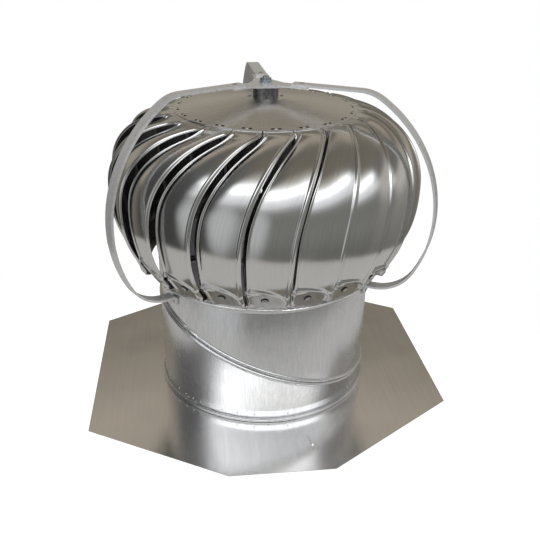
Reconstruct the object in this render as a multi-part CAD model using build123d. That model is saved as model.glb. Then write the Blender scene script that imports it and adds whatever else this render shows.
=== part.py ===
from build123d import *
from math import cos, degrees, radians, sin, sqrt, tan
import os

# Externally braced turbine roof vent in sheet aluminium, in millimetres, +Z up.
# The origin is on the vent's axis, on the underside of the flashing.
# The flashing's edges lie along X and Y.
# The wind turns a vaned head on a bolt that hangs from three strap arms, and the head stands on a two-part
# collar whose slanted seam lets the head be levelled on a pitched roof.

# Flashing: a square sheet with clipped corners and a drawn neck round the throat
FLASHING_SIZE = 508.0
FLASHING_CLIP_X = 185.0
FLASHING_CLIP_Y = 112.0
FLASHING_FRONT_LEFT_CLIP_Y = 104.0
FLASHING_FRONT_RIGHT_CLIP_Y = 123.0
FLASHING_GAUGE = 1.0
NECK_HEIGHT = 18.5
NECK_HEM = 2.0
NECK_ROOT_FILLET = 0.8
RIDGE_DIRECTION = 282.5
RIDGE_STAND_OFF = 42.0
RIDGE_LENGTH = 17.0
RIDGE_HALF_WIDTH = 1.3
EMBOSS_RING_GAP = 9.0
EMBOSS_RING_R = 2.4
EMBOSS_RING_WIRE = 0.8

# Collar: round at both ends, with a true circle in the slanted seam plane
COLLAR_R = 153.0
COLLAR_GAUGE = 1.0
COLLAR_FOOT_STRAIGHT = 17.0
COLLAR_NECK_CLEARANCE = 1.2
NECK_HEM_GAP = 0.36
COLLAR_SEAT_GAP = 0.3
FOOT_ROLL_R = 2.6
DIMPLE_DIRECTIONS = (211.6, 218.0, 223.7, 228.9, 234.5, 242.2, 250.6, 259.9, 277.4, 318.9, 322.1)
DIMPLE_Z = 12.0
DIMPLE_R = 1.6
LOWER_WALL_LEAST = 8.9
SEAM_TILT = 20.9
SEAM_LOW_DIRECTION = -3.5
SEAM_FLARE = 9.0
SEAM_ROLL_R = 3.0
SEAM_ROLL_OFFSET = 3.4
SEAM_LOCK_WIDTH = 7.0
SEAM_LOCK_GAP = 0.4
SEAM_LOCK_GAUGE = 1.0
UPPER_WALL_LEAST = 31.25
SPOUT_HEIGHT = 24.0

# Strap arms: flat bar bent in a radial plane
ARM_DIRECTIONS = {"rear": 92.0, "left": 212.0, "right": 332.0}
ARM_WIDTH = 16.0
ARM_GAUGE = 3.2
ARM_TAB_DROP = 9.7
ARM_ROOT_R = 38.0
ARM_SHOULDER_SET_IN = 24.0
ARM_SHOULDER_BEND = 52.0
ARM_SHOULDER_ANGLE = 32.0
ARM_BOW_BEND = 174.0
ARM_BOW_ANGLE = 86.0
ARM_FOOT_BEND = 58.0
ARM_TAB_BEND = 3.2
ARM_TAB_LENGTH = 8.0
ARM_TAB_GAP = 0.2
FOOT_RIVET_R = 1.6
FOOT_RIVET_HEAD_R = 2.6
FOOT_RIVET_PITCH = 7.0
RIVET_HEAD_HEIGHT = 1.2
RIVET_HOLE_CLEARANCE = 0.05
RIVET_SEAT_GAP = 0.06

# Hub bracket under the inner ends of the arms
BRACKET_GAUGE = 2.0
BRACKET_POINT_R = 40.0
BRACKET_LEG_R = 60.0
BRACKET_LEG_WIDTH = 22.0
BRACKET_LIP = 3.6
BRACKET_LIP_LENGTH = 42.0
BRACKET_CORNER_R = 4.0
HUB_RIVET_R = 2.0
HUB_RIVET_HEAD_R = 3.4
HUB_RIVET_CENTRE_R = 50.0

# Hub bolt, its nut and the two shielded ball bearings
BOLT_R = 4.0
BOLT_CLEARANCE = 0.05
BOLT_TIP = 2.5
BOLT_HEAD_HEIGHT = 5.5
NUT_ACROSS_FLATS = 13.0
NUT_HEIGHT = 5.0
WASHER_R = 8.5
WASHER_GAUGE = 1.6
BEARING_R = 11.0
BEARING_WIDTH = 7.0
BEARING_RACE_R = 6.1
BEARING_RUNNING_CLEARANCE = 0.05
BEARING_PRESS_GAP = 0.02
HOUSING_R = 17.0
HUB_SPACER_LENGTH = 2.9
HOUSING_LENGTH = 44.0
HOUSING_BORE_R = 8.0
HOUSING_FLANGE_R = 27.0
HOUSING_FLANGE_GAUGE = 2.0
HOUSING_FIT_GAP = 0.1
HOUSING_RIVET_COUNT = 4
HOUSING_RIVET_R = 1.6
HOUSING_RIVET_HEAD_R = 2.6
HOUSING_RIVET_CENTRE_R = 22.0

# Turbine cap: a shallow cone that covers the upper ends of the vanes
HOUSING_STAND = 12.5
CAP_FLAT_R = 28.0
CAP_SLOPE = 8.5
CAP_OVERLAP = 14.0
CAP_GAUGE = 1.0
CLINCH_SET_IN = 5.0
CLINCH_R = 1.7
CLINCH_HEIGHT = 0.9
CLINCH_SLOT_LENGTH = 3.2
CLINCH_SLOT_WIDTH = 1.5
CLINCH_SLOT_GAP = 0.9

# Vanes: strips that run from the cap over a shoulder and a waist to the bottom ring
VANE_COUNT = 21
VANE_PHASE = 13.0
VANE_GAUGE = 0.8
VANE_SPAN = 16.7
VANE_CUP = 10.8
VANE_LIP_LAG = 13.6
VANE_LEAN = 0.415
VANE_LEAN_EASE = 70.0
VANE_TAB_LENGTH = 27.0
VANE_TAB_GAP = 0.25
HEAD_SHOULDER_SET_IN = 19.0
HEAD_UPPER_BEND = 90.0
HEAD_LOWER_BEND = 180.0
HEAD_LOWER_ANGLE = 31.0
VANE_FOOT_LENGTH = 32.0
VANE_FOOT_LEAD = 0.9
UPPER_STATIONS = 9
LOWER_STATIONS = 5

# Bottom ring inside the vanes' feet
RING_GAUGE = 1.0
RING_SEAT_GAP = 0.15
RING_TOP_MARGIN = 5.0
RING_ROLL_R = 2.4
VANE_RIVET_R = 2.0
VANE_RIVET_HEAD_R = 3.7
VANE_RIVET_UP = 20.0
VANE_RIVET_ASIDE = 4.1

VANE_PITCH = 360.0 / VANE_COUNT
NECK_R = COLLAR_R - COLLAR_GAUGE - COLLAR_NECK_CLEARANCE
THROAT_R = NECK_R - FLASHING_GAUGE
COLLAR_FOOT_Z = FLASHING_GAUGE + COLLAR_SEAT_GAP
COLLAR_BEND_Z = COLLAR_FOOT_Z + COLLAR_FOOT_STRAIGHT
RIDGE_INNER_R = COLLAR_R + RIDGE_STAND_OFF
SEAM_R = COLLAR_R + SEAM_FLARE
SEAM_RISE = SEAM_R * sin(radians(SEAM_TILT))
SEAM_Z = COLLAR_BEND_Z + LOWER_WALL_LEAST + SEAM_RISE
COLLAR_SHOULDER_Z = SEAM_Z + SEAM_RISE + UPPER_WALL_LEAST
COLLAR_TOP_Z = COLLAR_SHOULDER_Z + SPOUT_HEIGHT
ARM_SHOULDER_R = COLLAR_R - ARM_SHOULDER_SET_IN
ARM_TURN = ARM_SHOULDER_ANGLE + ARM_BOW_ANGLE
ARM_DROP = (
    ARM_SHOULDER_BEND * (1 - cos(radians(ARM_SHOULDER_ANGLE)))
    + ARM_BOW_BEND * (cos(radians(ARM_SHOULDER_ANGLE)) - cos(radians(ARM_TURN)))
    + ARM_FOOT_BEND * (1 + cos(radians(ARM_TURN))) + ARM_TAB_BEND + ARM_GAUGE / 2
)
ARM_TAB_TOP = COLLAR_SHOULDER_Z - ARM_TAB_DROP
ARM_Z = ARM_TAB_TOP + ARM_DROP
BRACKET_TOP_Z = ARM_Z - ARM_GAUGE / 2
HOUSING_TOP_Z = BRACKET_TOP_Z - BRACKET_GAUGE - HUB_SPACER_LENGTH
HOUSING_BOTTOM_Z = HOUSING_TOP_Z - HOUSING_LENGTH
CAP_TOP_Z = HOUSING_TOP_Z - HOUSING_STAND
HEAD_SHOULDER_R = COLLAR_R - HEAD_SHOULDER_SET_IN
VANE_TAB_INNER_R = HEAD_SHOULDER_R - VANE_TAB_LENGTH
CAP_R = VANE_TAB_INNER_R + CAP_OVERLAP
CLINCH_CENTRE_R = CAP_R - CLINCH_SET_IN


def turned(corners):
    """Solid of revolution about Z from (radius, height) corners."""
    outline = Polyline(*[(r, 0, z) for r, z in corners], close=True)
    return revolve(make_face(outline), axis=Axis.Z)


def tube(outer_r, inner_r, low, high):
    """Straight round tube about Z."""
    return turned([(inner_r, low), (outer_r, low), (outer_r, high), (inner_r, high)])


def around(direction, shape):
    """A shape modelled on the +X side, turned to a direction about Z."""
    return Rot(0, 0, direction) * shape


def rivet(shank_r, head_r, grip):
    """Rivet along +Z: a button head on z = 0, its shank, and a flat tail below the grip."""
    crown_r = head_r * 0.6
    shoulder = RIVET_HEAD_HEIGHT * 0.45
    tail_r = (shank_r + head_r) / 2
    tail_end = -grip - RIVET_HEAD_HEIGHT / 2
    return turned([
        (0, RIVET_HEAD_HEIGHT), (crown_r, RIVET_HEAD_HEIGHT), (head_r, shoulder), (head_r, 0), (shank_r, 0),
        (shank_r, -grip), (tail_r, -grip), (tail_r, tail_end), (0, tail_end),
    ])


# Flashing

def make_flashing():
    half = FLASHING_SIZE / 2
    corner_x = half - FLASHING_CLIP_X
    back_y = half - FLASHING_CLIP_Y
    left_y = FLASHING_FRONT_LEFT_CLIP_Y - half
    right_y = FLASHING_FRONT_RIGHT_CLIP_Y - half
    outline = Polyline(
        (-corner_x, -half), (corner_x, -half), (half, right_y), (half, back_y),
        (corner_x, half), (-corner_x, half), (-half, back_y), (-half, left_y), close=True,
    )
    sheet = extrude(make_face(outline), FLASHING_GAUGE)
    sheet -= Cylinder(THROAT_R, 4 * FLASHING_GAUGE)
    root = FLASHING_GAUGE + NECK_ROOT_FILLET
    hem_r = NECK_R + COLLAR_NECK_CLEARANCE - NECK_HEM_GAP
    neck = turned([
        (THROAT_R, 0), (NECK_R + NECK_ROOT_FILLET, 0), (NECK_R + NECK_ROOT_FILLET, FLASHING_GAUGE),
        (NECK_R, root), (NECK_R, NECK_HEIGHT - NECK_HEM), (hem_r, NECK_HEIGHT - NECK_HEM),
        (hem_r, NECK_HEIGHT), (THROAT_R, NECK_HEIGHT),
    ])
    ridge_curve = RIDGE_HALF_WIDTH
    ridge = Pos(RIDGE_INNER_R + RIDGE_LENGTH / 2, 0, FLASHING_GAUGE) * Rot(0, 90, 0) * Cylinder(
        ridge_curve, RIDGE_LENGTH)
    ring_x = RIDGE_INNER_R + RIDGE_LENGTH + EMBOSS_RING_GAP
    ring = Pos(ring_x, 0, FLASHING_GAUGE) * Torus(EMBOSS_RING_R, EMBOSS_RING_WIRE)
    marks = around(RIDGE_DIRECTION, ridge + ring)
    above_sheet = Pos(0, 0, FLASHING_GAUGE / 2) * Box(
        FLASHING_SIZE, FLASHING_SIZE, FLASHING_SIZE, align=(Align.CENTER, Align.CENTER, Align.MIN))
    return sheet + neck + (marks & above_sheet)


# Collar

def seam_plane(offset=0.0):
    tilt = radians(SEAM_TILT)
    low = radians(SEAM_LOW_DIRECTION)
    normal = (sin(tilt) * cos(low), sin(tilt) * sin(low), cos(tilt))
    across = (-sin(low), cos(low), 0)
    return Plane(origin=(0, 0, SEAM_Z), x_dir=across, z_dir=normal).offset(offset)


def level_plane(height):
    low = radians(SEAM_LOW_DIRECTION)
    return Plane(origin=(0, 0, height), x_dir=(-sin(low), cos(low), 0), z_dir=(0, 0, 1))


def collar_wall(level_z, seam_offset):
    """Sheet that changes from a level circle to a circle in the slanted seam plane."""
    level = level_plane(level_z)
    slant = seam_plane(seam_offset)
    outer = loft([level * Circle(COLLAR_R), slant * Circle(SEAM_R)], ruled=True)
    inner_r = COLLAR_R - COLLAR_GAUGE
    seam_inner_r = SEAM_R - COLLAR_GAUGE
    inner = loft([level * Circle(inner_r), slant * Circle(seam_inner_r)], ruled=True)
    return outer - inner


def seam_roll(side):
    """Rolled bead on one side of the seam, in the seam's own frame."""
    roll_r = SEAM_R - COLLAR_GAUGE
    return Pos(0, 0, side * SEAM_ROLL_OFFSET) * Torus(roll_r, SEAM_ROLL_R)


def make_lower_collar():
    inner_r = COLLAR_R - COLLAR_GAUGE
    foot = tube(COLLAR_R, inner_r, COLLAR_FOOT_Z, COLLAR_BEND_Z)
    for direction in DIMPLE_DIRECTIONS:
        foot -= around(direction, Pos(COLLAR_R + DIMPLE_R / 2, 0, DIMPLE_Z) * Sphere(DIMPLE_R))
    foot_roll = Pos(0, 0, COLLAR_FOOT_Z + FOOT_ROLL_R) * Torus(COLLAR_R + FOOT_ROLL_R * 0.75, FOOT_ROLL_R)
    wall = collar_wall(COLLAR_BEND_Z, -SEAM_ROLL_OFFSET)
    # The lock is a channel: a flange inwards, an upstand, and a curl back out over the upper collar's flange
    roll_r = SEAM_R - COLLAR_GAUGE
    flange_top = SEAM_ROLL_R - SEAM_ROLL_OFFSET
    lock_r = roll_r - SEAM_LOCK_WIDTH - SEAM_LOCK_GAP - SEAM_LOCK_GAUGE
    curl_low = SEAM_ROLL_OFFSET - SEAM_ROLL_R + SEAM_LOCK_GAUGE + SEAM_LOCK_GAP
    curl_high = curl_low + SEAM_LOCK_GAUGE
    curl_r = roll_r - SEAM_LOCK_WIDTH * 0.65
    lock = turned([
        (lock_r, flange_top - SEAM_LOCK_GAUGE), (roll_r, flange_top - SEAM_LOCK_GAUGE), (roll_r, flange_top),
        (lock_r + SEAM_LOCK_GAUGE, flange_top), (lock_r + SEAM_LOCK_GAUGE, curl_low), (curl_r, curl_low),
        (curl_r, curl_high), (lock_r, curl_high),
    ])
    return foot + foot_roll + wall + seam_plane() * (seam_roll(-1) + lock)


def make_upper_collar():
    inner_r = COLLAR_R - COLLAR_GAUGE
    wall = collar_wall(COLLAR_SHOULDER_Z, SEAM_ROLL_OFFSET)
    spout = tube(COLLAR_R, inner_r, COLLAR_SHOULDER_Z, COLLAR_TOP_Z)
    roll_r = SEAM_R - COLLAR_GAUGE
    flange_low = SEAM_ROLL_OFFSET - SEAM_ROLL_R
    flange_r = roll_r - SEAM_ROLL_R / 2
    flange = tube(flange_r, roll_r - SEAM_LOCK_WIDTH, flange_low, flange_low + SEAM_LOCK_GAUGE)
    return spout + wall + seam_plane() * seam_roll(1) + seam_plane() * flange


# Strap arms

def arm_face(tab_r, shift):
    """Edges of one face of a strap in its own plane, from the hub out, down and back to the collar.

    A positive shift is the upper and outer face, and a negative one the lower and inner face.
    """
    top = Line((ARM_ROOT_R, ARM_Z + shift), (ARM_SHOULDER_R, ARM_Z + shift))
    shoulder = JernArc(top @ 1, top % 1, ARM_SHOULDER_BEND + shift, -ARM_SHOULDER_ANGLE)
    bow = JernArc(shoulder @ 1, shoulder % 1, ARM_BOW_BEND + shift, -ARM_BOW_ANGLE)
    back_angle = 180 - ARM_TURN
    foot = JernArc(bow @ 1, bow % 1, ARM_FOOT_BEND + shift, -back_angle)
    bend_r = ARM_TAB_BEND + ARM_GAUGE / 2
    reach = Line(foot @ 1, (tab_r + bend_r, (foot @ 1).Y))
    turn = JernArc(reach @ 1, reach % 1, bend_r - shift, 90)
    tab = Line(turn @ 1, turn @ 1 + (0, -ARM_TAB_LENGTH))
    return [top, shoulder, bow, foot, reach, turn, tab]


def wall_radii(collar, direction, height):
    """Inner and outer radius of a collar wall at a height, along a direction from the axis."""
    ray = Axis((0, 0, height), (cos(radians(direction)), sin(radians(direction)), 0))
    hits = [sqrt(point.X**2 + point.Y**2) for point, normal in collar.find_intersection_points(ray)
            if point.X * ray.direction.X + point.Y * ray.direction.Y > 0]
    return min(hits), max(hits)


def make_arm(tab_r, tab_mid_z):
    outer = arm_face(tab_r, ARM_GAUGE / 2)
    inner = arm_face(tab_r, -ARM_GAUGE / 2)
    ends = [Line(outer[0] @ 0, inner[0] @ 0), Line(outer[-1] @ 1, inner[-1] @ 1)]
    side_view = Face(Wire.combine(outer + inner + ends, tol=ARM_GAUGE / 1000)[0])
    bar = extrude(Plane.XZ * side_view, ARM_WIDTH / 2, both=True)
    bar -= Pos(HUB_RIVET_CENTRE_R, 0, ARM_Z) * Cylinder(HUB_RIVET_R + RIVET_HOLE_CLEARANCE, 4 * ARM_GAUGE)
    for side in (-1, 1):
        hole = Rot(0, 90, 0) * Cylinder(FOOT_RIVET_R + RIVET_HOLE_CLEARANCE, 4 * ARM_GAUGE)
        bar -= Pos(tab_r, side * FOOT_RIVET_PITCH / 2, tab_mid_z) * hole
    return bar


# Hub bracket and bolt

def make_bracket():
    plan = RegularPolygon(BRACKET_POINT_R, 3, rotation=ARM_DIRECTIONS["rear"])
    for direction in ARM_DIRECTIONS.values():
        leg = Pos(BRACKET_LEG_R / 2, 0) * Rectangle(BRACKET_LEG_R, BRACKET_LEG_WIDTH)
        plan += Rot(0, 0, direction) * leg
    inside = [v for v in plan.vertices() if Vector(v.X, v.Y, 0).length < BRACKET_POINT_R]
    plan = fillet(inside, BRACKET_CORNER_R)
    plate = Pos(0, 0, BRACKET_TOP_Z - BRACKET_GAUGE) * extrude(plan, BRACKET_GAUGE)
    edge_r = BRACKET_POINT_R / 2
    lip = Pos(edge_r - BRACKET_GAUGE / 2, 0, BRACKET_TOP_Z) * Box(
        BRACKET_GAUGE, BRACKET_LIP_LENGTH, BRACKET_LIP, align=(Align.CENTER, Align.CENTER, Align.MAX))
    for direction in ARM_DIRECTIONS.values():
        plate += around(direction + 180, lip)
        hole = Pos(HUB_RIVET_CENTRE_R, 0, BRACKET_TOP_Z) * Cylinder(
            HUB_RIVET_R + RIVET_HOLE_CLEARANCE, 4 * BRACKET_GAUGE)
        plate -= around(direction, hole)
    plate -= Pos(0, 0, BRACKET_TOP_Z) * Cylinder(BOLT_R + BOLT_CLEARANCE, 4 * BRACKET_GAUGE)
    return plate


def hexagon(across_flats):
    return RegularPolygon(across_flats / 2, 6, major_radius=False)


def make_bolt(low, high):
    shank = Pos(0, 0, low) * Cylinder(BOLT_R, high - low, align=(Align.CENTER, Align.CENTER, Align.MIN))
    shank = chamfer(shank.edges().group_by(Axis.Z)[-1], BOLT_R / 5)
    head = Pos(0, 0, low - BOLT_HEAD_HEIGHT) * extrude(hexagon(NUT_ACROSS_FLATS), BOLT_HEAD_HEIGHT)
    return shank + head


def make_nut(low):
    corner_r = NUT_ACROSS_FLATS / sqrt(3)
    flat_r = NUT_ACROSS_FLATS / 2
    bevel = (corner_r - flat_r) * tan(radians(30))
    blank = Pos(0, 0, low) * extrude(hexagon(NUT_ACROSS_FLATS), NUT_HEIGHT)
    turned_blank = turned([
        (0, low), (flat_r, low), (corner_r, low + bevel), (corner_r, low + NUT_HEIGHT - bevel),
        (flat_r, low + NUT_HEIGHT), (0, low + NUT_HEIGHT),
    ])
    return (blank & turned_blank) - Pos(0, 0, low) * Cylinder(BOLT_R + BOLT_CLEARANCE, 4 * NUT_HEIGHT)


# Rotor: cap, bearing housing, vanes and bottom ring

def cap_height(radius):
    """Upper face of the cap at a radius on its cone."""
    return CAP_TOP_Z - (radius - CAP_FLAT_R) * tan(radians(CAP_SLOPE))


def make_cap():
    hole_r = HOUSING_R + HOUSING_FIT_GAP
    skin = CAP_GAUGE / cos(radians(CAP_SLOPE))
    rim_top = cap_height(CAP_R)
    cap = turned([
        (hole_r, CAP_TOP_Z), (CAP_FLAT_R, CAP_TOP_Z), (CAP_R, rim_top), (CAP_R, rim_top - skin),
        (CAP_FLAT_R, CAP_TOP_Z - skin), (hole_r, CAP_TOP_Z - skin),
    ])
    clinch = Cylinder(CLINCH_R, 2 * CLINCH_HEIGHT)
    slot_y = CLINCH_R + CLINCH_SLOT_GAP + CLINCH_SLOT_LENGTH / 2
    slot = Box(CLINCH_SLOT_WIDTH, CLINCH_SLOT_LENGTH, 4 * CAP_GAUGE)
    place = Pos(CLINCH_CENTRE_R, 0, cap_height(CLINCH_CENTRE_R)) * Rot(0, CAP_SLOPE, 0)
    for index in range(VANE_COUNT):
        turn = Rot(0, 0, VANE_PHASE + index * VANE_PITCH)
        cap += turn * place * clinch
        cap -= turn * place * Pos(0, slot_y, 0) * slot
        cap -= turn * place * Pos(0, -slot_y, 0) * slot
    for index in range(HOUSING_RIVET_COUNT):
        hole = Pos(HOUSING_RIVET_CENTRE_R, 0, CAP_TOP_Z) * Cylinder(
            HOUSING_RIVET_R + RIVET_HOLE_CLEARANCE, 4 * CAP_GAUGE)
        cap -= around(index * 360 / HOUSING_RIVET_COUNT, hole)
    return cap


def make_housing():
    seat_r = BEARING_R + BEARING_PRESS_GAP
    low_shoulder = HOUSING_BOTTOM_Z + BEARING_WIDTH
    high_shoulder = HOUSING_TOP_Z - BEARING_WIDTH
    flange_top = CAP_TOP_Z - CAP_GAUGE / cos(radians(CAP_SLOPE))
    flange_low = flange_top - HOUSING_FLANGE_GAUGE
    housing = turned([
        (seat_r, HOUSING_BOTTOM_Z), (HOUSING_R, HOUSING_BOTTOM_Z), (HOUSING_R, flange_low),
        (HOUSING_FLANGE_R, flange_low), (HOUSING_FLANGE_R, flange_top),
        (HOUSING_R, flange_top), (HOUSING_R, HOUSING_TOP_Z), (seat_r, HOUSING_TOP_Z),
        (seat_r, high_shoulder), (HOUSING_BORE_R, high_shoulder), (HOUSING_BORE_R, low_shoulder),
        (seat_r, low_shoulder),
    ])
    for index in range(HOUSING_RIVET_COUNT):
        hole = Pos(HOUSING_RIVET_CENTRE_R, 0, flange_low) * Cylinder(
            HOUSING_RIVET_R + RIVET_HOLE_CLEARANCE, 4 * HOUSING_FLANGE_GAUGE)
        housing -= around(index * 360 / HOUSING_RIVET_COUNT, hole)
    return housing


def tab_line(radius):
    """Height of a vane's middle surface where it lies flat under the cap."""
    drop = (CAP_GAUGE + VANE_GAUGE / 2) / cos(radians(CAP_SLOPE)) + VANE_TAB_GAP
    return cap_height(radius) - drop


UPPER_TURN = 90.0 - CAP_SLOPE
SHOULDER_CENTRE_R = HEAD_SHOULDER_R - HEAD_UPPER_BEND * sin(radians(CAP_SLOPE))
WAIST_Z = tab_line(HEAD_SHOULDER_R) - HEAD_UPPER_BEND * cos(radians(CAP_SLOPE))
WAIST_R = SHOULDER_CENTRE_R + HEAD_UPPER_BEND
FOOT_TOP_R = WAIST_R - HEAD_LOWER_BEND * (1 - cos(radians(HEAD_LOWER_ANGLE)))
FOOT_TOP_Z = WAIST_Z - HEAD_LOWER_BEND * sin(radians(HEAD_LOWER_ANGLE))


def foot_point(down):
    """Radius and height on the straight foot of a vane, some way down from its top."""
    slope = radians(HEAD_LOWER_ANGLE)
    return FOOT_TOP_R - down * sin(slope), FOOT_TOP_Z - down * cos(slope)


def vane_lip(above_waist, radius):
    """Direction of a vane's lip at a length above the waist, where its lean eases off."""
    run = max(above_waist, 0.0)
    if abs(above_waist) < VANE_LEAN_EASE:
        share = (above_waist / VANE_LEAN_EASE + 1) / 2
        run = 2 * VANE_LEAN_EASE * (share**3 - share**4 / 2)
    return degrees(VANE_LEAN * run / radius) - VANE_LIP_LAG


def vane_stations():
    """(radius, height, steepness, cup depth, lip direction) down the length of a vane, angles in degrees.

    Steepness is 0 where the vane is upright at the waist, positive above it and negative below it.
    """
    tab_lip = vane_lip(HEAD_UPPER_BEND * radians(UPPER_TURN), HEAD_SHOULDER_R)
    stations = [(VANE_TAB_INNER_R, tab_line(VANE_TAB_INNER_R), UPPER_TURN, 0.0, tab_lip)]
    for index in range(UPPER_STATIONS):
        share = 1 - index / (UPPER_STATIONS - 1)
        angle = UPPER_TURN * share
        radius = SHOULDER_CENTRE_R + HEAD_UPPER_BEND * cos(radians(angle))
        height = WAIST_Z + HEAD_UPPER_BEND * sin(radians(angle))
        lip = vane_lip(HEAD_UPPER_BEND * radians(angle), radius)
        stations.append((radius, height, angle, VANE_CUP * (1 - share**4), lip))
    for index in range(LOWER_STATIONS):
        share = (index + 1) / LOWER_STATIONS
        angle = HEAD_LOWER_ANGLE * share
        radius = WAIST_R - HEAD_LOWER_BEND * (1 - cos(radians(angle)))
        height = WAIST_Z - HEAD_LOWER_BEND * sin(radians(angle))
        lip = vane_lip(-HEAD_LOWER_BEND * radians(angle), radius)
        stations.append((radius, height, -angle, VANE_CUP * (1 - share**4), lip))
    radius, height = foot_point(VANE_FOOT_LENGTH)
    stations.append((radius, height, -HEAD_LOWER_ANGLE, 0.0, VANE_FOOT_LEAD - VANE_LIP_LAG))
    return stations


def vane_section(radius, height, steepness, cup, lip):
    """Flat strip across a vane at one station, its lip on the outline and its other edge dipped inwards."""
    half_span = radians(VANE_SPAN / 2)
    middle = radians(lip) - half_span
    steep = radians(steepness)
    outward = Vector(cos(steep) * cos(middle), cos(steep) * sin(middle), sin(steep))
    across = Vector(-sin(middle), cos(middle), 0)
    along = across.cross(outward)
    half_width = radius * sin(half_span)
    sag = radius * (1 - cos(half_span)) * cos(steep)
    lip_y = -sag if cup else 0.0
    edge_y = lip_y - cup
    half = VANE_GAUGE / 2
    corners = [(-half_width, edge_y - half), (half_width, lip_y - half),
               (half_width, lip_y + half), (-half_width, edge_y + half)]
    origin = Vector(radius * cos(middle), radius * sin(middle), height)
    plane = Plane(origin=origin, x_dir=across, z_dir=along)
    return plane * make_face(Polyline(*corners, close=True))


def rivet_place():
    """Where a vane's rivet sits: on the foot's outer face, its axis square to the foot."""
    radius, height = foot_point(VANE_FOOT_LENGTH - VANE_RIVET_UP)
    share = 1 - VANE_RIVET_UP / VANE_FOOT_LENGTH
    middle = VANE_FOOT_LEAD * share - VANE_LIP_LAG - VANE_SPAN / 2
    on_foot = Pos(radius, -VANE_RIVET_ASIDE, height) * Rot(0, 90 + HEAD_LOWER_ANGLE, 0)
    out = on_foot * Pos(0, 0, VANE_GAUGE / 2 + RIVET_SEAT_GAP)
    return Rot(0, 0, middle) * out


def make_vane():
    sections = [vane_section(*station) for station in vane_stations()]
    tab = loft(sections[:2])
    blade = loft(sections[1:-1])
    foot = loft(sections[-2:])
    return tab + blade + foot - rivet_place() * Cylinder(VANE_RIVET_R + RIVET_HOLE_CLEARANCE, 6 * VANE_GAUGE)


def make_ring():
    slope = radians(HEAD_LOWER_ANGLE)
    skin = RING_GAUGE / cos(slope)
    set_in = (VANE_GAUGE / 2 + RING_SEAT_GAP) / cos(slope)
    top_r, top_z = foot_point(RING_TOP_MARGIN)
    low_r, low_z = foot_point(VANE_FOOT_LENGTH + 2 * RING_ROLL_R)
    band = turned([
        (low_r - set_in - skin, low_z), (low_r - set_in, low_z),
        (top_r - set_in, top_z), (top_r - set_in - skin, top_z),
    ])
    roll = Pos(0, 0, low_z) * Torus(low_r - set_in + RING_ROLL_R - skin, RING_ROLL_R)
    ring = band + roll
    hole = rivet_place() * Cylinder(VANE_RIVET_R + RIVET_HOLE_CLEARANCE, 12 * RING_GAUGE)
    for index in range(VANE_COUNT):
        ring -= Rot(0, 0, VANE_PHASE + index * VANE_PITCH) * hole
    return ring


# Build every node

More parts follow.
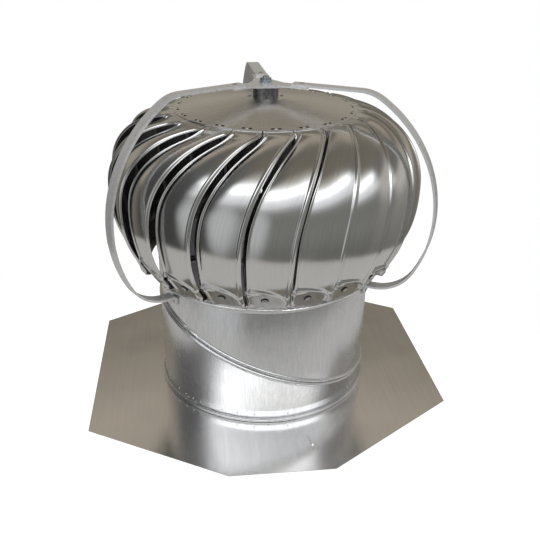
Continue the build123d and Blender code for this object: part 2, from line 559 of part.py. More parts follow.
def build():
    nodes = {"flashing": make_flashing(), "lower_collar": make_lower_collar()}

    upper_collar = make_upper_collar()
    tab_top = ARM_TAB_TOP
    tab_bottom = tab_top - ARM_TAB_LENGTH
    tab_mid = (tab_top + tab_bottom) / 2
    foot_rivets = []
    for name, direction in ARM_DIRECTIONS.items():
        seat_r = max(wall_radii(upper_collar, direction, height)[1] for height in (tab_top, tab_bottom))
        tab_r = seat_r + ARM_TAB_GAP + ARM_GAUGE / 2
        nodes[f"brace_arm_{name}"] = around(direction, make_arm(tab_r, tab_mid))
        outer_face = tab_r + ARM_GAUGE / 2
        tail_heights = (tab_mid - FOOT_RIVET_HEAD_R, tab_mid + FOOT_RIVET_HEAD_R)
        inner_face = min(wall_radii(upper_collar, direction, height)[0] for height in tail_heights)
        grip = outer_face - inner_face + 5 * RIVET_SEAT_GAP
        for side in (-1, 1):
            place = Pos(outer_face, side * FOOT_RIVET_PITCH / 2, tab_mid) * Rot(0, 90, 0)
            foot_rivets.append(around(direction, place * rivet(FOOT_RIVET_R, FOOT_RIVET_HEAD_R, grip)))
            hole = place * Cylinder(FOOT_RIVET_R + RIVET_HOLE_CLEARANCE, 4 * grip)
            upper_collar -= around(direction, hole)
    nodes["upper_collar"] = upper_collar
    nodes["arm_foot_rivets"] = Compound(children=foot_rivets)

    nodes["hub_bracket"] = make_bracket()
    hub_grip = ARM_GAUGE + BRACKET_GAUGE
    hub_rivet_seat = Pos(HUB_RIVET_CENTRE_R, 0, ARM_Z + ARM_GAUGE / 2)
    hub_rivet = hub_rivet_seat * rivet(HUB_RIVET_R, HUB_RIVET_HEAD_R, hub_grip)
    nodes["hub_rivets"] = Compound(children=[around(d, hub_rivet) for d in ARM_DIRECTIONS.values()])

    bore_r = BOLT_R + BOLT_CLEARANCE
    race_r = BEARING_RACE_R - BEARING_RUNNING_CLEARANCE
    nut_low = BRACKET_TOP_Z + WASHER_GAUGE
    thrust_top = HOUSING_BOTTOM_Z
    nodes["hub_bolt"] = make_bolt(thrust_top - WASHER_GAUGE, nut_low + NUT_HEIGHT + BOLT_TIP)
    nodes["hub_nut"] = make_nut(nut_low)
    nodes["hub_washer"] = tube(WASHER_R, bore_r, BRACKET_TOP_Z, nut_low)
    nodes["thrust_washer"] = tube(race_r, bore_r, thrust_top - WASHER_GAUGE, thrust_top)
    nodes["hub_spacer"] = tube(race_r, bore_r, HOUSING_TOP_Z, BRACKET_TOP_Z - BRACKET_GAUGE)
    nodes["bearing_sleeve"] = tube(race_r, bore_r, thrust_top + BEARING_WIDTH, HOUSING_TOP_Z - BEARING_WIDTH)
    for name, low in (("upper", HOUSING_TOP_Z - BEARING_WIDTH), ("lower", HOUSING_BOTTOM_Z)):
        nodes[f"{name}_bearing_inner_race"] = tube(race_r, bore_r, low, low + BEARING_WIDTH)
        nodes[f"{name}_bearing_outer_race"] = tube(BEARING_R, BEARING_RACE_R, low, low + BEARING_WIDTH)

    nodes["bearing_housing"] = make_housing()
    nodes["turbine_cap"] = make_cap()
    housing_grip = HOUSING_FLANGE_GAUGE + CAP_GAUGE / cos(radians(CAP_SLOPE))
    housing_rivet = Pos(HOUSING_RIVET_CENTRE_R, 0, CAP_TOP_Z) * rivet(
        HOUSING_RIVET_R, HOUSING_RIVET_HEAD_R, housing_grip)
    nodes["housing_rivets"] = Compound(children=[
        around(index * 360 / HOUSING_RIVET_COUNT, housing_rivet) for index in range(HOUSING_RIVET_COUNT)])

    nodes["turbine_ring"] = make_ring()
    vane = make_vane()
    ring_sag = (VANE_RIVET_ASIDE + VANE_RIVET_HEAD_R)**2 / (2 * FOOT_TOP_R)
    ring_grip = VANE_GAUGE + RING_SEAT_GAP + RING_GAUGE + ring_sag + 2 * RIVET_SEAT_GAP
    vane_rivet = rivet_place() * rivet(VANE_RIVET_R, VANE_RIVET_HEAD_R, ring_grip)
    vane_rivets = []
    for index in range(VANE_COUNT):
        turn = Rot(0, 0, VANE_PHASE + index * VANE_PITCH)
        nodes[f"vane_{index + 1:02d}"] = turn * vane
        vane_rivets.append(turn * vane_rivet)
    nodes["vane_rivets"] = Compound(children=vane_rivets)
    return nodes


os.makedirs("parts", exist_ok=True)
for node, shape in build().items():
    export_step(shape, f"parts/{node}.step")
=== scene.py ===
# Turbine roof vent: finish, studio and camera
# The part's own frame: origin on the axis at the underside of the flashing, +Z up.
# Sizes of the vanes, rivets and slits are in millimetres, and the camera and floor are placed in metres.

from math import cos, degrees, pi, radians, sin, sqrt, tan

import bpy
from mathutils import Matrix, Vector


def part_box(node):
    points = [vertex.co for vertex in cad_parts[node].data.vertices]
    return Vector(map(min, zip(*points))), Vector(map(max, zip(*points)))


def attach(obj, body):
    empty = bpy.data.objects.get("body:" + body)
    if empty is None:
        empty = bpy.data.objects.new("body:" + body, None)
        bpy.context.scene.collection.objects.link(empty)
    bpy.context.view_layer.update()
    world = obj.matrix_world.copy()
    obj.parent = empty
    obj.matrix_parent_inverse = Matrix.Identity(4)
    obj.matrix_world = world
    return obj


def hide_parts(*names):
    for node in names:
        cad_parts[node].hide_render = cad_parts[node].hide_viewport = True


MM = 0.001

# Camera at the photograph's viewing angle
CAMERA_PLACE = (-0.0990, -0.9009, 0.6167)
CAMERA_PITCH = 63.28
CAMERA_HEADING = -6.88
CAMERA_ROLL = 0.94
CAMERA_LENS = 45.33
CAMERA_SENSOR = 36.0

# Vane shape, in millimetres and degrees, as in the part's source
VANE_COUNT = 21
VANE_PHASE = 13.0
VANE_GAUGE = 0.8
VANE_SPAN = 16.7
VANE_CUP = 10.8
VANE_LIP_LAG = 13.6
VANE_LEAN = 0.415
VANE_LEAN_EASE = 70.0
VANE_TAB_INNER_R = 107.0
VANE_TAB_GAP = 0.25
SHOULDER_R = 134.0
UPPER_BEND = 90.0
LOWER_BEND = 180.0
LOWER_ANGLE = 31.0
FOOT_LENGTH = 32.0
FOOT_LEAD = 0.9
CAP_FLAT_R = 28.0
CAP_R = 121.0
CAP_SLOPE = 8.5
CAP_GAUGE = 1.0
CLINCH_SET_IN = 5.0
CLINCH_SLOT_OFF = 4.2

# Rivet through a vane's foot and the ring, as in the part's source
VANE_RIVET_UP = 20.0
VANE_RIVET_ASIDE = 4.1
VANE_RIVET_R = 2.0
RIVET_SEAT_GAP = 0.06

# Details of the vanes and cap that only this scene shows
CUP_POWER = 2.6
TOP_CUP_FADE = 14.0
LOWER_CUP_FADE = 4
BEAD_INSET = 0.9
BEAD_WIDTH = 5.6
BEAD_HEIGHT = 2.2
BEAD_FOOT_EASE = 14.0
BEAD_TOP_START = 258.0
BEAD_TOP_EASE = 12.0
FOLD_HEIGHT = 4.2
FOLD_WIDTH = 5.0
FOLD_FADE_START = 50.0
FOLD_FADE_LENGTH = 90.0
FOLD_RIM_HEIGHT = 2.1
FOLD_RIM_OFF = 4.5
FOLD_RIM_HALF_WIDTH = 4.5
ARCH_MIDDLE = 0.30
ARCH_HALF_SPAN = 0.64
ARCH_SPRING = 10.0
ARCH_RISE = 29.0
FOOT_EASE = 10.0
SLIT_LENGTH = 4.2
SLIT_WIDTH = 3.4
SLIT_GAUGE = 0.12
SLIT_CORNER = (0.4, 0.6)

# Blind rivet: recess, crown, flange and the upset tail behind the ring
RIVET_SIDES = 24
RIVET_RECESS_R = 1.5
RIVET_RECESS_FLOOR = 0.5
RIVET_RECESS_FLARE = 0.2
RIVET_RECESS_EDGE = 0.25
RIVET_HEAD_R = 4.9
RIVET_HEAD_HEIGHT = 1.7
RIVET_CROWN_SET_IN = 0.8
RIVET_CROWN_DROP = 0.3
RIVET_CROWN_EDGE = 1.4
RIVET_FLANGE_WIDTH = 0.8
RIVET_FLANGE_HEIGHT = 0.55
RIVET_RIM_HEIGHT = 0.25
RIVET_GRIP = 2.1
RIVET_TAIL_R = 2.85
RIVET_TAIL_HEIGHT = 0.65

# Floor under the vent, in metres
FLOOR_R = 0.525
FLOOR_CENTRE_X = -0.05
FLOOR_Z = -0.0006
FLOOR_SIDES = 96
FLOOR_TONE = (0.84, 0.83, 0.82)
FLOOR_ROUGHNESS = 0.9
FLOOR_WHITE = 0.86
FLOOR_GLOSS = 0.09

# Second, lower light to the left of the front
SIDE_LIGHT_AZIMUTH = -52.0
SIDE_LIGHT_ELEVATION = -8.0
SIDE_LIGHT_INNER = 8.0
SIDE_LIGHT_OUTER = 34.0
SIDE_LIGHT_TONE = (0.52, 0.53, 0.54)

# Directions between which the walls of the room blend, as shares of a unit vector
SIDE_BLEND = (-0.35, 0.35)
FRONT_BLEND = (-0.12, -0.45)
BACK_BLEND = (0.30, 0.65)

# Room tones by height of the direction, from -1 straight down to 1 straight up
FRONT_TONES = (
    (-1.0, (0.12, 0.12, 0.11)), (-0.67, (0.13, 0.13, 0.12)), (-0.34, (0.21, 0.21, 0.20)),
    (0.0, (0.20, 0.20, 0.19)), (0.18, (0.22, 0.22, 0.21)), (0.31, (0.42, 0.42, 0.42)),
    (0.39, (0.75, 0.76, 0.78)), (0.485, (0.88, 0.90, 0.92)), (0.58, (1.10, 1.12, 1.15)),
    (0.635, (2.05, 2.09, 2.13)), (0.75, (2.30, 2.34, 2.38)), (0.79, (1.10, 1.10, 1.09)),
    (0.875, (0.48, 0.46, 0.42)), (0.99, (0.21, 0.19, 0.16)),
)
LEFT_TONES = (
    (-1.0, (0.05, 0.05, 0.05)), (-0.1, (0.06, 0.06, 0.06)), (0.3, (0.07, 0.07, 0.07)),
    (0.6, (0.09, 0.09, 0.09)), (0.70, (0.12, 0.12, 0.12)), (0.85, (0.12, 0.12, 0.11)),
    (1.0, (0.18, 0.16, 0.13)),
)
RIGHT_TONES = (
    (-1.0, (0.09, 0.09, 0.08)), (-0.1, (0.30, 0.29, 0.27)), (0.2, (0.55, 0.53, 0.50)),
    (0.42, (0.50, 0.48, 0.45)), (0.55, (0.19, 0.18, 0.17)), (0.70, (0.17, 0.16, 0.15)),
    (0.85, (0.18, 0.165, 0.14)), (1.0, (0.18, 0.16, 0.13)),
)
BACK_TONES = (
    (-1.0, (0.10, 0.10, 0.09)), (0.0, (0.20, 0.18, 0.15)), (0.12, (0.36, 0.33, 0.28)),
    (0.27, (0.37, 0.34, 0.29)), (0.42, (0.23, 0.21, 0.175)), (0.50, (0.165, 0.148, 0.122)),
    (0.555, (0.19, 0.17, 0.14)), (0.60, (0.40, 0.355, 0.295)), (0.70, (0.40, 0.355, 0.295)),
    (0.83, (0.24, 0.22, 0.18)), (1.0, (0.19, 0.17, 0.14)),
)

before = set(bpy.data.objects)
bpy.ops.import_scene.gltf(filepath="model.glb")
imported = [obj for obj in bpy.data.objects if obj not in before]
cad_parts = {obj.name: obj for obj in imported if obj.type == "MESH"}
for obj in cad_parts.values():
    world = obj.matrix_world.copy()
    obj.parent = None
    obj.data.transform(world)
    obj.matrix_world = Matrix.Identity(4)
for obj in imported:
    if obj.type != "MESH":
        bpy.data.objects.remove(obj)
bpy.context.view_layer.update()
CAP_TOP_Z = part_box("turbine_cap")[1].z / MM


# Materials

CLOUD_SCALE = 14.0
WAVE_SCALE = 9.0


def new_material(name):
    material = bpy.data.materials.new(name)
    material.use_nodes = True
    tree = material.node_tree
    shader = tree.nodes["Principled BSDF"]
    return material, tree, shader


def coordinates(tree, stretch, source="Object"):
    place = tree.nodes.new("ShaderNodeTexCoord")
    mapping = tree.nodes.new("ShaderNodeMapping")
    mapping.inputs["Scale"].default_value = stretch
    tree.links.new(place.outputs[source], mapping.inputs["Vector"])
    return mapping.outputs["Vector"]


def noise(tree, vector, scale, detail=3.0, roughness=0.55):
    texture = tree.nodes.new("ShaderNodeTexNoise")
    texture.inputs["Scale"].default_value = scale
    texture.inputs["Detail"].default_value = detail
    texture.inputs["Roughness"].default_value = roughness
    tree.links.new(vector, texture.inputs["Vector"])
    return texture.outputs["Fac"]


def spread(tree, value, low, high, start=0.3, end=0.7):
    """A value stretched onto a range."""
    node = tree.nodes.new("ShaderNodeMapRange")
    node.inputs["From Min"].default_value = start
    node.inputs["From Max"].default_value = end
    node.inputs["To Min"].default_value = low
    node.inputs["To Max"].default_value = high
    tree.links.new(value, node.inputs["Value"])
    return node.outputs["Result"]


def two_tones(tree, value, dark, light, start=0.3, end=0.7):
    ramp = tree.nodes.new("ShaderNodeValToRGB")
    ramp.color_ramp.elements[0].position = start
    ramp.color_ramp.elements[0].color = (*dark, 1.0)
    ramp.color_ramp.elements[1].position = end
    ramp.color_ramp.elements[1].color = (*light, 1.0)
    tree.links.new(value, ramp.inputs["Fac"])
    return ramp.outputs["Color"]


def bumped(tree, height, strength, distance, base=None):
    bump = tree.nodes.new("ShaderNodeBump")
    bump.inputs["Strength"].default_value = strength
    bump.inputs["Distance"].default_value = distance
    tree.links.new(height, bump.inputs["Height"])
    if base is not None:
        tree.links.new(base, bump.inputs["Normal"])
    return bump.outputs["Normal"]


def sheet_metal(name, dark, light, smooth, rough, grain_stretch, grain_bump, wave_bump, source="Object"):
    """Mill-finish sheet: streaks along the rolling direction, cloudy gloss and slight waviness."""
    material, tree, shader = new_material(name)
    shader.inputs["Metallic"].default_value = 1.0
    even = coordinates(tree, (1.0, 1.0, 1.0), source)
    streaks = noise(tree, coordinates(tree, grain_stretch, source), 1.0, detail=4.0, roughness=0.6)
    clouds = noise(tree, even, CLOUD_SCALE)
    waves = noise(tree, even, WAVE_SCALE, detail=1.0, roughness=0.4)
    tree.links.new(two_tones(tree, streaks, dark, light), shader.inputs["Base Color"])
    tree.links.new(spread(tree, clouds, smooth, rough), shader.inputs["Roughness"])
    normal = bumped(tree, waves, 1.0, wave_bump)
    normal = bumped(tree, streaks, 1.0, grain_bump, normal)
    tree.links.new(normal, shader.inputs["Normal"])
    return material


def cast_metal(name, dark, light, smooth, rough, scale, depth, metallic=1.0):
    """Plated or bare bar and small hardware: fine mottle without a direction."""
    material, tree, shader = new_material(name)
    shader.inputs["Metallic"].default_value = metallic
    mottle = noise(tree, coordinates(tree, (1.0, 1.0, 1.0)), scale, detail=4.0, roughness=0.6)
    tree.links.new(two_tones(tree, mottle, dark, light), shader.inputs["Base Color"])
    tree.links.new(spread(tree, mottle, smooth, rough), shader.inputs["Roughness"])
    tree.links.new(bumped(tree, mottle, 1.0, depth), shader.inputs["Normal"])
    return material


# Each finish has a dark and a light tone, its least and most roughness, then its grain or mottle
FINISHES = {
    "flashing_sheet": sheet_metal(
        "flashing_sheet", (0.87, 0.86, 0.85), (0.92, 0.91, 0.90), 0.15, 0.22,
        (300.0, 6.0, 40.0), 0.000004, 0.0005),
    "collar_sheet": sheet_metal(
        "collar_sheet", (0.72, 0.73, 0.75), (0.86, 0.86, 0.86), 0.19, 0.31,
        (520.0, 520.0, 9.0), 0.00003, 0.0006),
    "rotor_sheet": sheet_metal(
        "rotor_sheet", (0.70, 0.70, 0.69), (0.78, 0.78, 0.77), 0.12, 0.20,
        (600.0, 14.0, 40.0), 0.00003, 0.0003, "UV"),
    # The vanes' own sheet made darker: painted shade on their inner side, inside the turbine.
    "rotor_inside_shade": sheet_metal(
        "rotor_inside_shade", (0.20, 0.20, 0.20), (0.32, 0.31, 0.30), 0.30, 0.44,
        (600.0, 14.0, 40.0), 0.00003, 0.0003, "UV"),
    "cap_sheet": sheet_metal(
        "cap_sheet", (0.81, 0.80, 0.78), (0.89, 0.88, 0.86), 0.22, 0.30,
        (14.0, 320.0, 40.0), 0.00003, 0.0003),
    "ring_sheet": sheet_metal(
        "ring_sheet", (0.84, 0.84, 0.83), (0.92, 0.92, 0.91), 0.20, 0.30,
        (60.0, 60.0, 300.0), 0.00003, 0.0003),
    "strap_bar": cast_metal(
        "strap_bar", (0.82, 0.82, 0.82), (0.94, 0.94, 0.94), 0.26, 0.40, 160.0, 0.00008, 0.45),
    "rivet_metal": cast_metal(
        "rivet_metal", (0.62, 0.61, 0.60), (0.76, 0.75, 0.74), 0.22, 0.36, 420.0, 0.00005),
    "vane_rivet_metal": cast_metal(
        "vane_rivet_metal", (0.55, 0.55, 0.54), (0.74, 0.74, 0.73), 0.24, 0.40, 420.0, 0.00005),
    "slit_shadow": cast_metal(
        "slit_shadow", (0.010, 0.010, 0.010), (0.022, 0.021, 0.020), 0.60, 0.80, 420.0, 0.00005, 0.0),
    "zinc_steel": cast_metal(
        "zinc_steel", (0.52, 0.60, 0.68), (0.72, 0.78, 0.83), 0.18, 0.32, 380.0, 0.00005),
    "bearing_steel": cast_metal(
        "bearing_steel", (0.50, 0.49, 0.48), (0.66, 0.65, 0.64), 0.16, 0.28, 300.0, 0.00004),
    "dark_steel": cast_metal(
        "dark_steel", (0.17, 0.17, 0.175), (0.28, 0.28, 0.285), 0.22, 0.36, 260.0, 0.0001),
}

NODE_FINISHES = {
    "flashing": "flashing_sheet",
    "lower_collar": "collar_sheet",
    "upper_collar": "collar_sheet",
    "brace_arm_rear": "strap_bar",
    "brace_arm_left": "strap_bar",
    "brace_arm_right": "strap_bar",
    "arm_foot_rivets": "rivet_metal",
    "hub_bracket": "strap_bar",
    "hub_rivets": "rivet_metal",
    "hub_bolt": "zinc_steel",
    "hub_nut": "zinc_steel",
    "hub_washer": "zinc_steel",
    "thrust_washer": "zinc_steel",
    "hub_spacer": "bearing_steel",
    "bearing_sleeve": "bearing_steel",
    "upper_bearing_inner_race": "bearing_steel",
    "lower_bearing_inner_race": "bearing_steel",
    "upper_bearing_outer_race": "bearing_steel",
    "lower_bearing_outer_race": "bearing_steel",
    "bearing_housing": "dark_steel",
    "housing_rivets": "rivet_metal",
    "turbine_cap": "cap_sheet",
    "turbine_ring": "ring_sheet",
}

for node_name, finish in NODE_FINISHES.items():
    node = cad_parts[node_name]
    node.data.materials.clear()
    node.data.materials.append(FINISHES[finish])


# Vanes

def vane_direction(index):
    return VANE_PHASE + index * 360.0 / VANE_COUNT


def clamp(value, low=0.0, high=1.0):
    return max(low, min(high, value))


def smooth_step(value):
    value = clamp(value)
    return value * value * (3 - 2 * value)


def cap_height(radius):
    return CAP_TOP_Z - (radius - CAP_FLAT_R) * tan(radians(CAP_SLOPE))


def tab_line(radius):
    drop = (CAP_GAUGE + VANE_GAUGE / 2) / cos(radians(CAP_SLOPE)) + VANE_TAB_GAP
    return cap_height(radius) - drop


UPPER_TURN = 90.0 - CAP_SLOPE
SHOULDER_CENTRE_R = SHOULDER_R - UPPER_BEND * sin(radians(CAP_SLOPE))
WAIST_Z = tab_line(SHOULDER_R) - UPPER_BEND * cos(radians(CAP_SLOPE))
WAIST_R = SHOULDER_CENTRE_R + UPPER_BEND
FOOT_TOP_R = WAIST_R - LOWER_BEND * (1 - cos(radians(LOWER_ANGLE)))
FOOT_TOP_Z = WAIST_Z - LOWER_BEND * sin(radians(LOWER_ANGLE))
TAB_STEPS = 6
UPPER_STEPS = 40
LOWER_STEPS = 60
FOOT_STEPS = 24


def vane_lip(above_waist, radius):
    """Direction of a vane's lip at a length above the waist."""
    run = max(above_waist, 0.0)
    if abs(above_waist) < VANE_LEAN_EASE:
        share = (above_waist / VANE_LEAN_EASE + 1) / 2
        run = 2 * VANE_LEAN_EASE * (share**3 - share**4 / 2)
    return degrees(VANE_LEAN * run / radius) - VANE_LIP_LAG


def vane_stations():
    """(radius, height, steepness, cup, lip direction, length above the foot's end) down a vane."""
    lower_length = LOWER_BEND * radians(LOWER_ANGLE)
    upper_length = UPPER_BEND * radians(UPPER_TURN)
    stations = []
    tab_lip = vane_lip(upper_length, SHOULDER_R)
    for index in range(TAB_STEPS):
        share = index / TAB_STEPS
        radius = VANE_TAB_INNER_R + (SHOULDER_R - VANE_TAB_INNER_R) * share
        up = FOOT_LENGTH + lower_length + upper_length + (SHOULDER_R - radius)
        stations.append((radius, tab_line(radius), UPPER_TURN, 0.0, tab_lip, up))
    for index in range(UPPER_STEPS + 1):
        share = 1 - index / UPPER_STEPS
        angle = UPPER_TURN * share
        radius = SHOULDER_CENTRE_R + UPPER_BEND * cos(radians(angle))
        height = WAIST_Z + UPPER_BEND * sin(radians(angle))
        lip = vane_lip(upper_length * share, radius)
        up = FOOT_LENGTH + lower_length + upper_length * share
        stations.append((radius, height, angle, VANE_CUP * (1 - share**TOP_CUP_FADE), lip, up))
    for index in range(1, LOWER_STEPS + 1):
        share = index / LOWER_STEPS
        angle = LOWER_ANGLE * share
        radius = WAIST_R - LOWER_BEND * (1 - cos(radians(angle)))
        height = WAIST_Z - LOWER_BEND * sin(radians(angle))
        lip = vane_lip(-lower_length * share, radius)
        up = FOOT_LENGTH + lower_length * (1 - share)
        stations.append((radius, height, -angle, VANE_CUP * (1 - share**LOWER_CUP_FADE), lip, up))
    for index in range(1, FOOT_STEPS + 1):
        down = FOOT_LENGTH * index / FOOT_STEPS
        radius = FOOT_TOP_R - down * sin(radians(LOWER_ANGLE))
        height = FOOT_TOP_Z - down * cos(radians(LOWER_ANGLE))
        lip = FOOT_LEAD * index / FOOT_STEPS - VANE_LIP_LAG
        stations.append((radius, height, -LOWER_ANGLE, 0.0, lip, FOOT_LENGTH - down))
    return stations


EDGE_STEPS = (0.0, 0.5, 0.9, 1.4, 2.0, 2.7, 3.4, 4.1, 4.8, 5.4, 6.0, 6.5, 7.2, 8.4, 10.4)
MIDDLE_STEPS = 14


def across_points(width):
    """Distances from the inner edge of a vane at which its section is drawn."""
    near = list(EDGE_STEPS)
    far = [width - step for step in reversed(EDGE_STEPS)]
    gap = far[0] - near[-1]
    middle = [near[-1] + gap * (index + 1) / (MIDDLE_STEPS + 1) for index in range(MIDDLE_STEPS)]
    return near + middle + far


def bead(from_edge):
    """Rolled bead just inside an edge."""
    share = (from_edge - BEAD_INSET) / BEAD_WIDTH
    if share <= 0 or share >= 1:
        return 0.0
    return BEAD_HEIGHT * sin(pi * share)


def fold(across, up):
    """How far a vane stands off its riveted foot: pressed flat inside an arched fold with a raised rim."""
    reach = (across - ARCH_MIDDLE) / ARCH_HALF_SPAN
    arch = ARCH_SPRING + ARCH_RISE * sqrt(clamp(1 - reach * reach))
    rise = smooth_step((up - arch) / FOLD_WIDTH + 0.5)
    fade = 1 - smooth_step((up - FOLD_FADE_START) / FOLD_FADE_LENGTH)
    from_rim = (up - arch - FOLD_RIM_OFF) / FOLD_RIM_HALF_WIDTH
    rim = FOLD_RIM_HEIGHT * clamp(1 - from_rim * from_rim)**2
    return (FOLD_HEIGHT * rise * fade + rim) * smooth_step(up / FOOT_EASE)


def vane_rows(direction):
    """Middle surface of one vane, row by row: (point, outward direction, from the edge, from the foot)."""
    half_span = radians(VANE_SPAN / 2)
    rows = []
    for radius, height, steepness, cup, lip, up in vane_stations():
        middle = radians(direction + lip) - half_span
        steep = radians(steepness)
        outward = Vector((cos(steep) * cos(middle), cos(steep) * sin(middle), sin(steep)))
        sideways = Vector((-sin(middle), cos(middle), 0.0))
        origin = Vector((radius * cos(middle), radius * sin(middle), height))
        width = 2 * radius * sin(half_span)
        sag = radius * (1 - cos(half_span)) * cos(steep) if cup else 0.0
        top_ease = 1 - smooth_step((up - BEAD_TOP_START) / BEAD_TOP_EASE)
        steadied = smooth_step(up / BEAD_FOOT_EASE) * top_ease
        row = []
        for at in across_points(width):
            share = at / width
            off_middle = 2 * share - 1
            rise = -sag * off_middle * off_middle - cup * (1 - share)**CUP_POWER
            rise += fold(share, up)
            rise += bead(min(at, width - at)) * steadied
            row.append((origin + sideways * (at - width / 2) + outward * rise, outward, at, up))
        rows.append(row)
    return rows


def sheet_faces(rows, columns):
    """Faces of a closed sheet, inner side first. Its vertices are the outer grid, then the inner one."""
    def corner(side, row, column):
        return (side * rows + row) * columns + column

    faces = []
    for row in range(rows - 1):
        for column in range(columns - 1):
            faces.append((corner(1, row, column), corner(1, row, column + 1),
                          corner(1, row + 1, column + 1), corner(1, row + 1, column)))
    for row in range(rows - 1):
        for column in range(columns - 1):
            faces.append((corner(0, row, column), corner(0, row + 1, column),
                          corner(0, row + 1, column + 1), corner(0, row, column + 1)))
    for row in range(rows - 1):
        for column in (0, columns - 1):
            rim = [corner(0, row, column), corner(1, row, column),
                   corner(1, row + 1, column), corner(0, row + 1, column)]
            faces.append(tuple(rim if column == 0 else reversed(rim)))
    for column in range(columns - 1):
        for row in (0, rows - 1):
            rim = [corner(0, row, column), corner(0, row, column + 1),
                   corner(1, row, column + 1), corner(1, row, column)]
            faces.append(tuple(rim if row == 0 else reversed(rim)))
    return faces


def vane_mesh(name, direction):
    """One vane with rolled edges and a folded foot, with a darker copy of its sheet on its inner side as
    painted shade.
    """
    rows = vane_rows(direction)
    columns = len(rows[0])
    points = [place for row in rows for place in row]
    half = VANE_GAUGE / 2
    vertices = []
    for side in (1, -1):
        for point, outward, at, up in points:
            vertices.append(tuple((point + outward * half * side) * MM))
    mesh = bpy.data.meshes.new(name)
    mesh.from_pydata(vertices, [], sheet_faces(len(rows), columns))
    layer = mesh.uv_layers.new(name="sheet")
    flat = [(at * MM, up * MM) for point, outward, at, up in points]
    for loop in mesh.loops:
        layer.data[loop.index].uv = flat[loop.vertex_index % len(points)]
    inside_faces = (len(rows) - 1) * (columns - 1)
    for polygon in mesh.polygons:
        polygon.material_index = 1 if polygon.index < inside_faces else 0
    mesh.shade_smooth()
    return mesh


for index in range(VANE_COUNT):
    label = f"{index + 1:02d}"
    mesh = vane_mesh(f"vane_sheet_{label}", vane_direction(index))
    mesh.materials.append(FINISHES["rotor_sheet"])
    # Second material: painted shade on the inner side.
    mesh.materials.append(FINISHES["rotor_inside_shade"])
    vane = bpy.data.objects.new(f"vane_sheet_{label}", mesh)
    bpy.context.scene.collection.objects.link(vane)
    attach(vane, "rotor")
    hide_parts(f"vane_{label}")


# Rivets at the vanes' feet

RIVET_PROFILE = (
    (RIVET_RECESS_R, RIVET_RECESS_FLOOR),
    (RIVET_RECESS_R + RIVET_RECESS_FLARE, RIVET_HEAD_HEIGHT - RIVET_RECESS_EDGE),
    (RIVET_RECESS_R + RIVET_CROWN_SET_IN, RIVET_HEAD_HEIGHT),
    (RIVET_HEAD_R - RIVET_CROWN_EDGE, RIVET_HEAD_HEIGHT - RIVET_CROWN_DROP),
    (RIVET_HEAD_R - RIVET_FLANGE_WIDTH, RIVET_FLANGE_HEIGHT),
    (RIVET_HEAD_R, RIVET_RIM_HEIGHT),
    (RIVET_HEAD_R, 0.0),
    (VANE_RIVET_R, 0.0),
    (VANE_RIVET_R, -RIVET_GRIP),
    (RIVET_TAIL_R, -RIVET_GRIP),
    (RIVET_TAIL_R, -RIVET_GRIP - RIVET_TAIL_HEIGHT),
)

# Steps of the profile, from the crown's edge to the seat, painted near-black as the shade round the flange
RIVET_SHADED_STEPS = (3, 4, 5)


def add_vane_rivets():
    """Blind rivets with a flanged head and the recess that the pulled pin leaves; the ring round the flange
    and the recess floor are painted near-black as shade.
    """
    down = FOOT_LENGTH - VANE_RIVET_UP
    seat = Vector((FOOT_TOP_R - down * sin(radians(LOWER_ANGLE)), -VANE_RIVET_ASIDE,
                   FOOT_TOP_Z - down * cos(radians(LOWER_ANGLE))))
    tilt = Matrix.Rotation(radians(90.0 + LOWER_ANGLE), 4, "Y")
    lift = Matrix.Translation((0.0, 0.0, VANE_GAUGE / 2 + RIVET_SEAT_GAP))
    behind_lip = FOOT_LEAD * down / FOOT_LENGTH - VANE_LIP_LAG - VANE_SPAN / 2
    rings = len(RIVET_PROFILE)
    vertices = []
    faces = []
    shaded_faces = []
    for index in range(VANE_COUNT):
        direction = vane_direction(index) + behind_lip
        place = Matrix.Rotation(radians(direction), 4, "Z") @ Matrix.Translation(seat) @ tilt @ lift
        first = len(vertices)
        for radius, height in RIVET_PROFILE:
            for side in range(RIVET_SIDES):
                angle = 2 * pi * side / RIVET_SIDES
                point = Vector((radius * cos(angle), radius * sin(angle), height))
                vertices.append(tuple((place @ point) * MM))
        # The recess floor is painted near-black as shade.
        shaded_faces.append(len(faces))
        faces.append(tuple(first + side for side in range(RIVET_SIDES)))
        faces.append(tuple(first + (rings - 1) * RIVET_SIDES + side for side in reversed(range(RIVET_SIDES))))
        for ring in range(rings - 1):
            for side in range(RIVET_SIDES):
                after = (side + 1) % RIVET_SIDES
                near = first + ring * RIVET_SIDES
                far = near + RIVET_SIDES
                if ring in RIVET_SHADED_STEPS:
                    shaded_faces.append(len(faces))
                faces.append((near + side, far + side, far + after, near + after))
    mesh = bpy.data.meshes.new("foot_rivet_heads")
    mesh.from_pydata(vertices, [], faces)
    mesh.materials.append(FINISHES["vane_rivet_metal"])
    mesh.materials.append(FINISHES["slit_shadow"])
    for face in shaded_faces:
        mesh.polygons[face].material_index = 1
    rivets = bpy.data.objects.new("foot_rivet_heads", mesh)
    bpy.context.scene.collection.objects.link(rivets)
    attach(rivets, "rotor")
    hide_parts("vane_rivets")


add_vane_rivets()


# Clinch marks on the cap

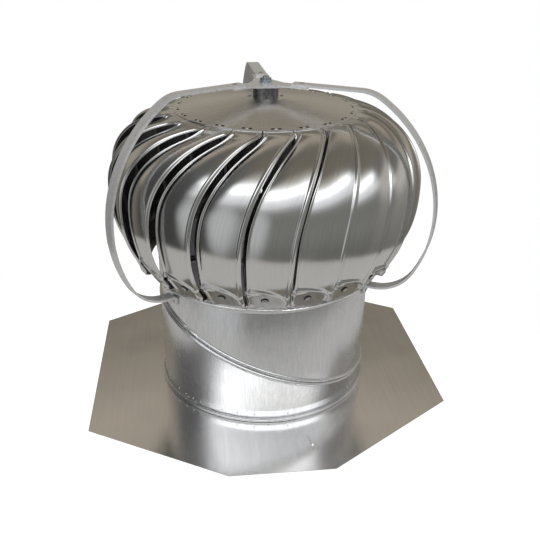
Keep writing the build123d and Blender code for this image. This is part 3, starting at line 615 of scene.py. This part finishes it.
def add_clinch_slit_shade():
    """Near-black plates lying over the cap's own slots beside each clinch mark: painted shade for the dark
    inside of the lanced slits.
    """
    vertices = []
    faces = []
    slope = Matrix.Rotation(radians(CAP_SLOPE), 4, "Y")
    clinch_r = CAP_R - CLINCH_SET_IN
    clinch_z = cap_height(clinch_r)
    half_width = SLIT_WIDTH / 2
    half_length = SLIT_LENGTH / 2
    x_cut, y_cut = SLIT_CORNER
    outline = (
        (-1.0, -y_cut), (-x_cut, -1.0), (x_cut, -1.0), (1.0, -y_cut),
        (1.0, y_cut), (x_cut, 1.0), (-x_cut, 1.0), (-1.0, y_cut),
    )
    corners = len(outline)
    for index in range(VANE_COUNT):
        turn = Matrix.Rotation(radians(vane_direction(index)), 4, "Z")
        place = turn @ Matrix.Translation((clinch_r, 0.0, clinch_z)) @ slope
        for side in (-1, 1):
            first = len(vertices)
            for lift in (SLIT_GAUGE, 0.0):
                for x, y in outline:
                    point = Vector((x * half_width, side * CLINCH_SLOT_OFF + y * half_length, lift))
                    vertices.append(tuple((place @ point) * MM))
            under = first + corners
            faces.append(tuple(first + corner for corner in range(corners)))
            faces.append(tuple(under + corner for corner in reversed(range(corners))))
            for corner in range(corners):
                after = (corner + 1) % corners
                faces.append((first + corner, under + corner, under + after, first + after))
    mesh = bpy.data.meshes.new("clinch_slit_shade")
    mesh.from_pydata(vertices, [], faces)
    mesh.validate()
    # Near-black finish: painted shade inside the slots.
    mesh.materials.append(FINISHES["slit_shadow"])
    slits = bpy.data.objects.new("clinch_slit_shade", mesh)
    bpy.context.scene.collection.objects.link(slits)
    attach(slits, "rotor")


add_clinch_slit_shade()


# Floor, light and camera

def add_floor():
    """Pale table top under the vent: white to the camera, with the vent's own shadow on it."""
    mesh = bpy.data.meshes.new("floor")
    steps = [2 * pi * side / FLOOR_SIDES for side in range(FLOOR_SIDES)]
    rim = [(FLOOR_CENTRE_X + FLOOR_R * cos(step), FLOOR_R * sin(step), FLOOR_Z) for step in steps]
    mesh.from_pydata(rim, [], [tuple(range(FLOOR_SIDES))])
    floor = bpy.data.objects.new("floor", mesh)
    bpy.context.scene.collection.objects.link(floor)
    material, tree, shader = new_material("floor_paper")
    shader.inputs["Base Color"].default_value = (*FLOOR_TONE, 1.0)
    shader.inputs["Roughness"].default_value = FLOOR_ROUGHNESS
    path = tree.nodes.new("ShaderNodeLightPath")
    white = tree.nodes.new("ShaderNodeEmission")
    white.inputs["Strength"].default_value = FLOOR_WHITE
    pale = tree.nodes.new("ShaderNodeEmission")
    in_mirrors = spread(tree, path.outputs["Is Glossy Ray"], 0.0, FLOOR_GLOSS, 0.0, 1.0)
    tree.links.new(in_mirrors, pale.inputs["Strength"])
    seen = tree.nodes.new("ShaderNodeMixShader")
    tree.links.new(path.outputs["Is Camera Ray"], seen.inputs["Fac"])
    tree.links.new(pale.outputs["Emission"], seen.inputs[1])
    tree.links.new(white.outputs["Emission"], seen.inputs[2])
    both = tree.nodes.new("ShaderNodeAddShader")
    tree.links.new(shader.outputs["BSDF"], both.inputs[0])
    tree.links.new(seen.outputs["Shader"], both.inputs[1])
    tree.links.new(both.outputs["Shader"], tree.nodes["Material Output"].inputs["Surface"])
    mesh.materials.append(material)


def tone_ramp(tree, height, tones):
    ramp = tree.nodes.new("ShaderNodeValToRGB")
    elements = ramp.color_ramp.elements
    for element, (level, colour) in zip((elements[0], elements[1]), (tones[0], tones[-1])):
        element.position = (level + 1) / 2
        element.color = (*colour, 1.0)
    for level, colour in tones[1:-1]:
        elements.new((level + 1) / 2).color = (*colour, 1.0)
    tree.links.new(height, ramp.inputs["Fac"])
    return ramp.outputs["Color"]


def ranged(tree, value, start, end):
    node = tree.nodes.new("ShaderNodeMapRange")
    node.interpolation_type = "SMOOTHSTEP"
    node.inputs["From Min"].default_value = start
    node.inputs["From Max"].default_value = end
    tree.links.new(value, node.inputs["Value"])
    return node.outputs["Result"]


def mixed(tree, share, first, second):
    node = tree.nodes.new("ShaderNodeMix")
    node.data_type = "RGBA"
    tree.links.new(share, node.inputs["Factor"])
    tree.links.new(first, node.inputs["A"])
    tree.links.new(second, node.inputs["B"])
    return node.outputs["Result"]


def side_light(tree, direction):
    """Share of the lower left light in a direction."""
    azimuth = radians(SIDE_LIGHT_AZIMUTH)
    elevation = radians(SIDE_LIGHT_ELEVATION)
    aim = tree.nodes.new("ShaderNodeVectorMath")
    aim.operation = "DOT_PRODUCT"
    level = cos(elevation)
    aim.inputs[1].default_value = (sin(azimuth) * level, -cos(azimuth) * level, sin(elevation))
    tree.links.new(direction, aim.inputs[0])
    return ranged(tree, aim.outputs["Value"], cos(radians(SIDE_LIGHT_OUTER)), cos(radians(SIDE_LIGHT_INNER)))


def add_world():
    """Warm grey room with a wide soft light high in front, and plain white to the camera."""
    world = bpy.data.worlds.new("studio")
    bpy.context.scene.world = world
    world.use_nodes = True
    tree = world.node_tree
    room = tree.nodes["Background"]
    place = tree.nodes.new("ShaderNodeTexCoord")
    parts = tree.nodes.new("ShaderNodeSeparateXYZ")
    tree.links.new(place.outputs["Generated"], parts.inputs["Vector"])
    height = tree.nodes.new("ShaderNodeMapRange")
    height.inputs["From Min"].default_value = -1.0
    tree.links.new(parts.outputs["Z"], height.inputs["Value"])
    level = height.outputs["Result"]
    depth = parts.outputs["Y"]
    across = ranged(tree, parts.outputs["X"], *SIDE_BLEND)
    sides = mixed(tree, across, tone_ramp(tree, level, LEFT_TONES), tone_ramp(tree, level, RIGHT_TONES))
    front = mixed(tree, ranged(tree, depth, *FRONT_BLEND), sides, tone_ramp(tree, level, FRONT_TONES))
    whole = mixed(tree, ranged(tree, depth, *BACK_BLEND), front, tone_ramp(tree, level, BACK_TONES))
    glow = tree.nodes.new("ShaderNodeMix")
    glow.data_type = "RGBA"
    glow.blend_type = "LIGHTEN"
    tree.links.new(side_light(tree, place.outputs["Generated"]), glow.inputs["Factor"])
    tree.links.new(whole, glow.inputs["A"])
    glow.inputs["B"].default_value = (*SIDE_LIGHT_TONE, 1.0)
    tree.links.new(glow.outputs["Result"], room.inputs["Color"])
    white = tree.nodes.new("ShaderNodeBackground")
    white.inputs["Color"].default_value = (1.0, 1.0, 1.0, 1.0)
    path = tree.nodes.new("ShaderNodeLightPath")
    mix = tree.nodes.new("ShaderNodeMixShader")
    tree.links.new(path.outputs["Is Camera Ray"], mix.inputs["Fac"])
    tree.links.new(room.outputs["Background"], mix.inputs[1])
    tree.links.new(white.outputs["Background"], mix.inputs[2])
    tree.links.new(mix.outputs["Shader"], tree.nodes["World Output"].inputs["Surface"])


def add_camera():
    data = bpy.data.cameras.new("photo_camera")
    data.sensor_width = CAMERA_SENSOR
    data.lens = CAMERA_LENS
    camera = bpy.data.objects.new("photo_camera", data)
    heading = Matrix.Rotation(radians(CAMERA_HEADING), 4, "Z")
    pitch = Matrix.Rotation(radians(CAMERA_PITCH), 4, "X")
    roll = Matrix.Rotation(radians(CAMERA_ROLL), 4, "Z")
    camera.matrix_world = Matrix.Translation(CAMERA_PLACE) @ heading @ pitch @ roll
    bpy.context.scene.collection.objects.link(camera)
    bpy.context.scene.camera = camera


add_floor()
add_world()
add_camera()
bpy.context.scene.view_settings.view_transform = "Standard"
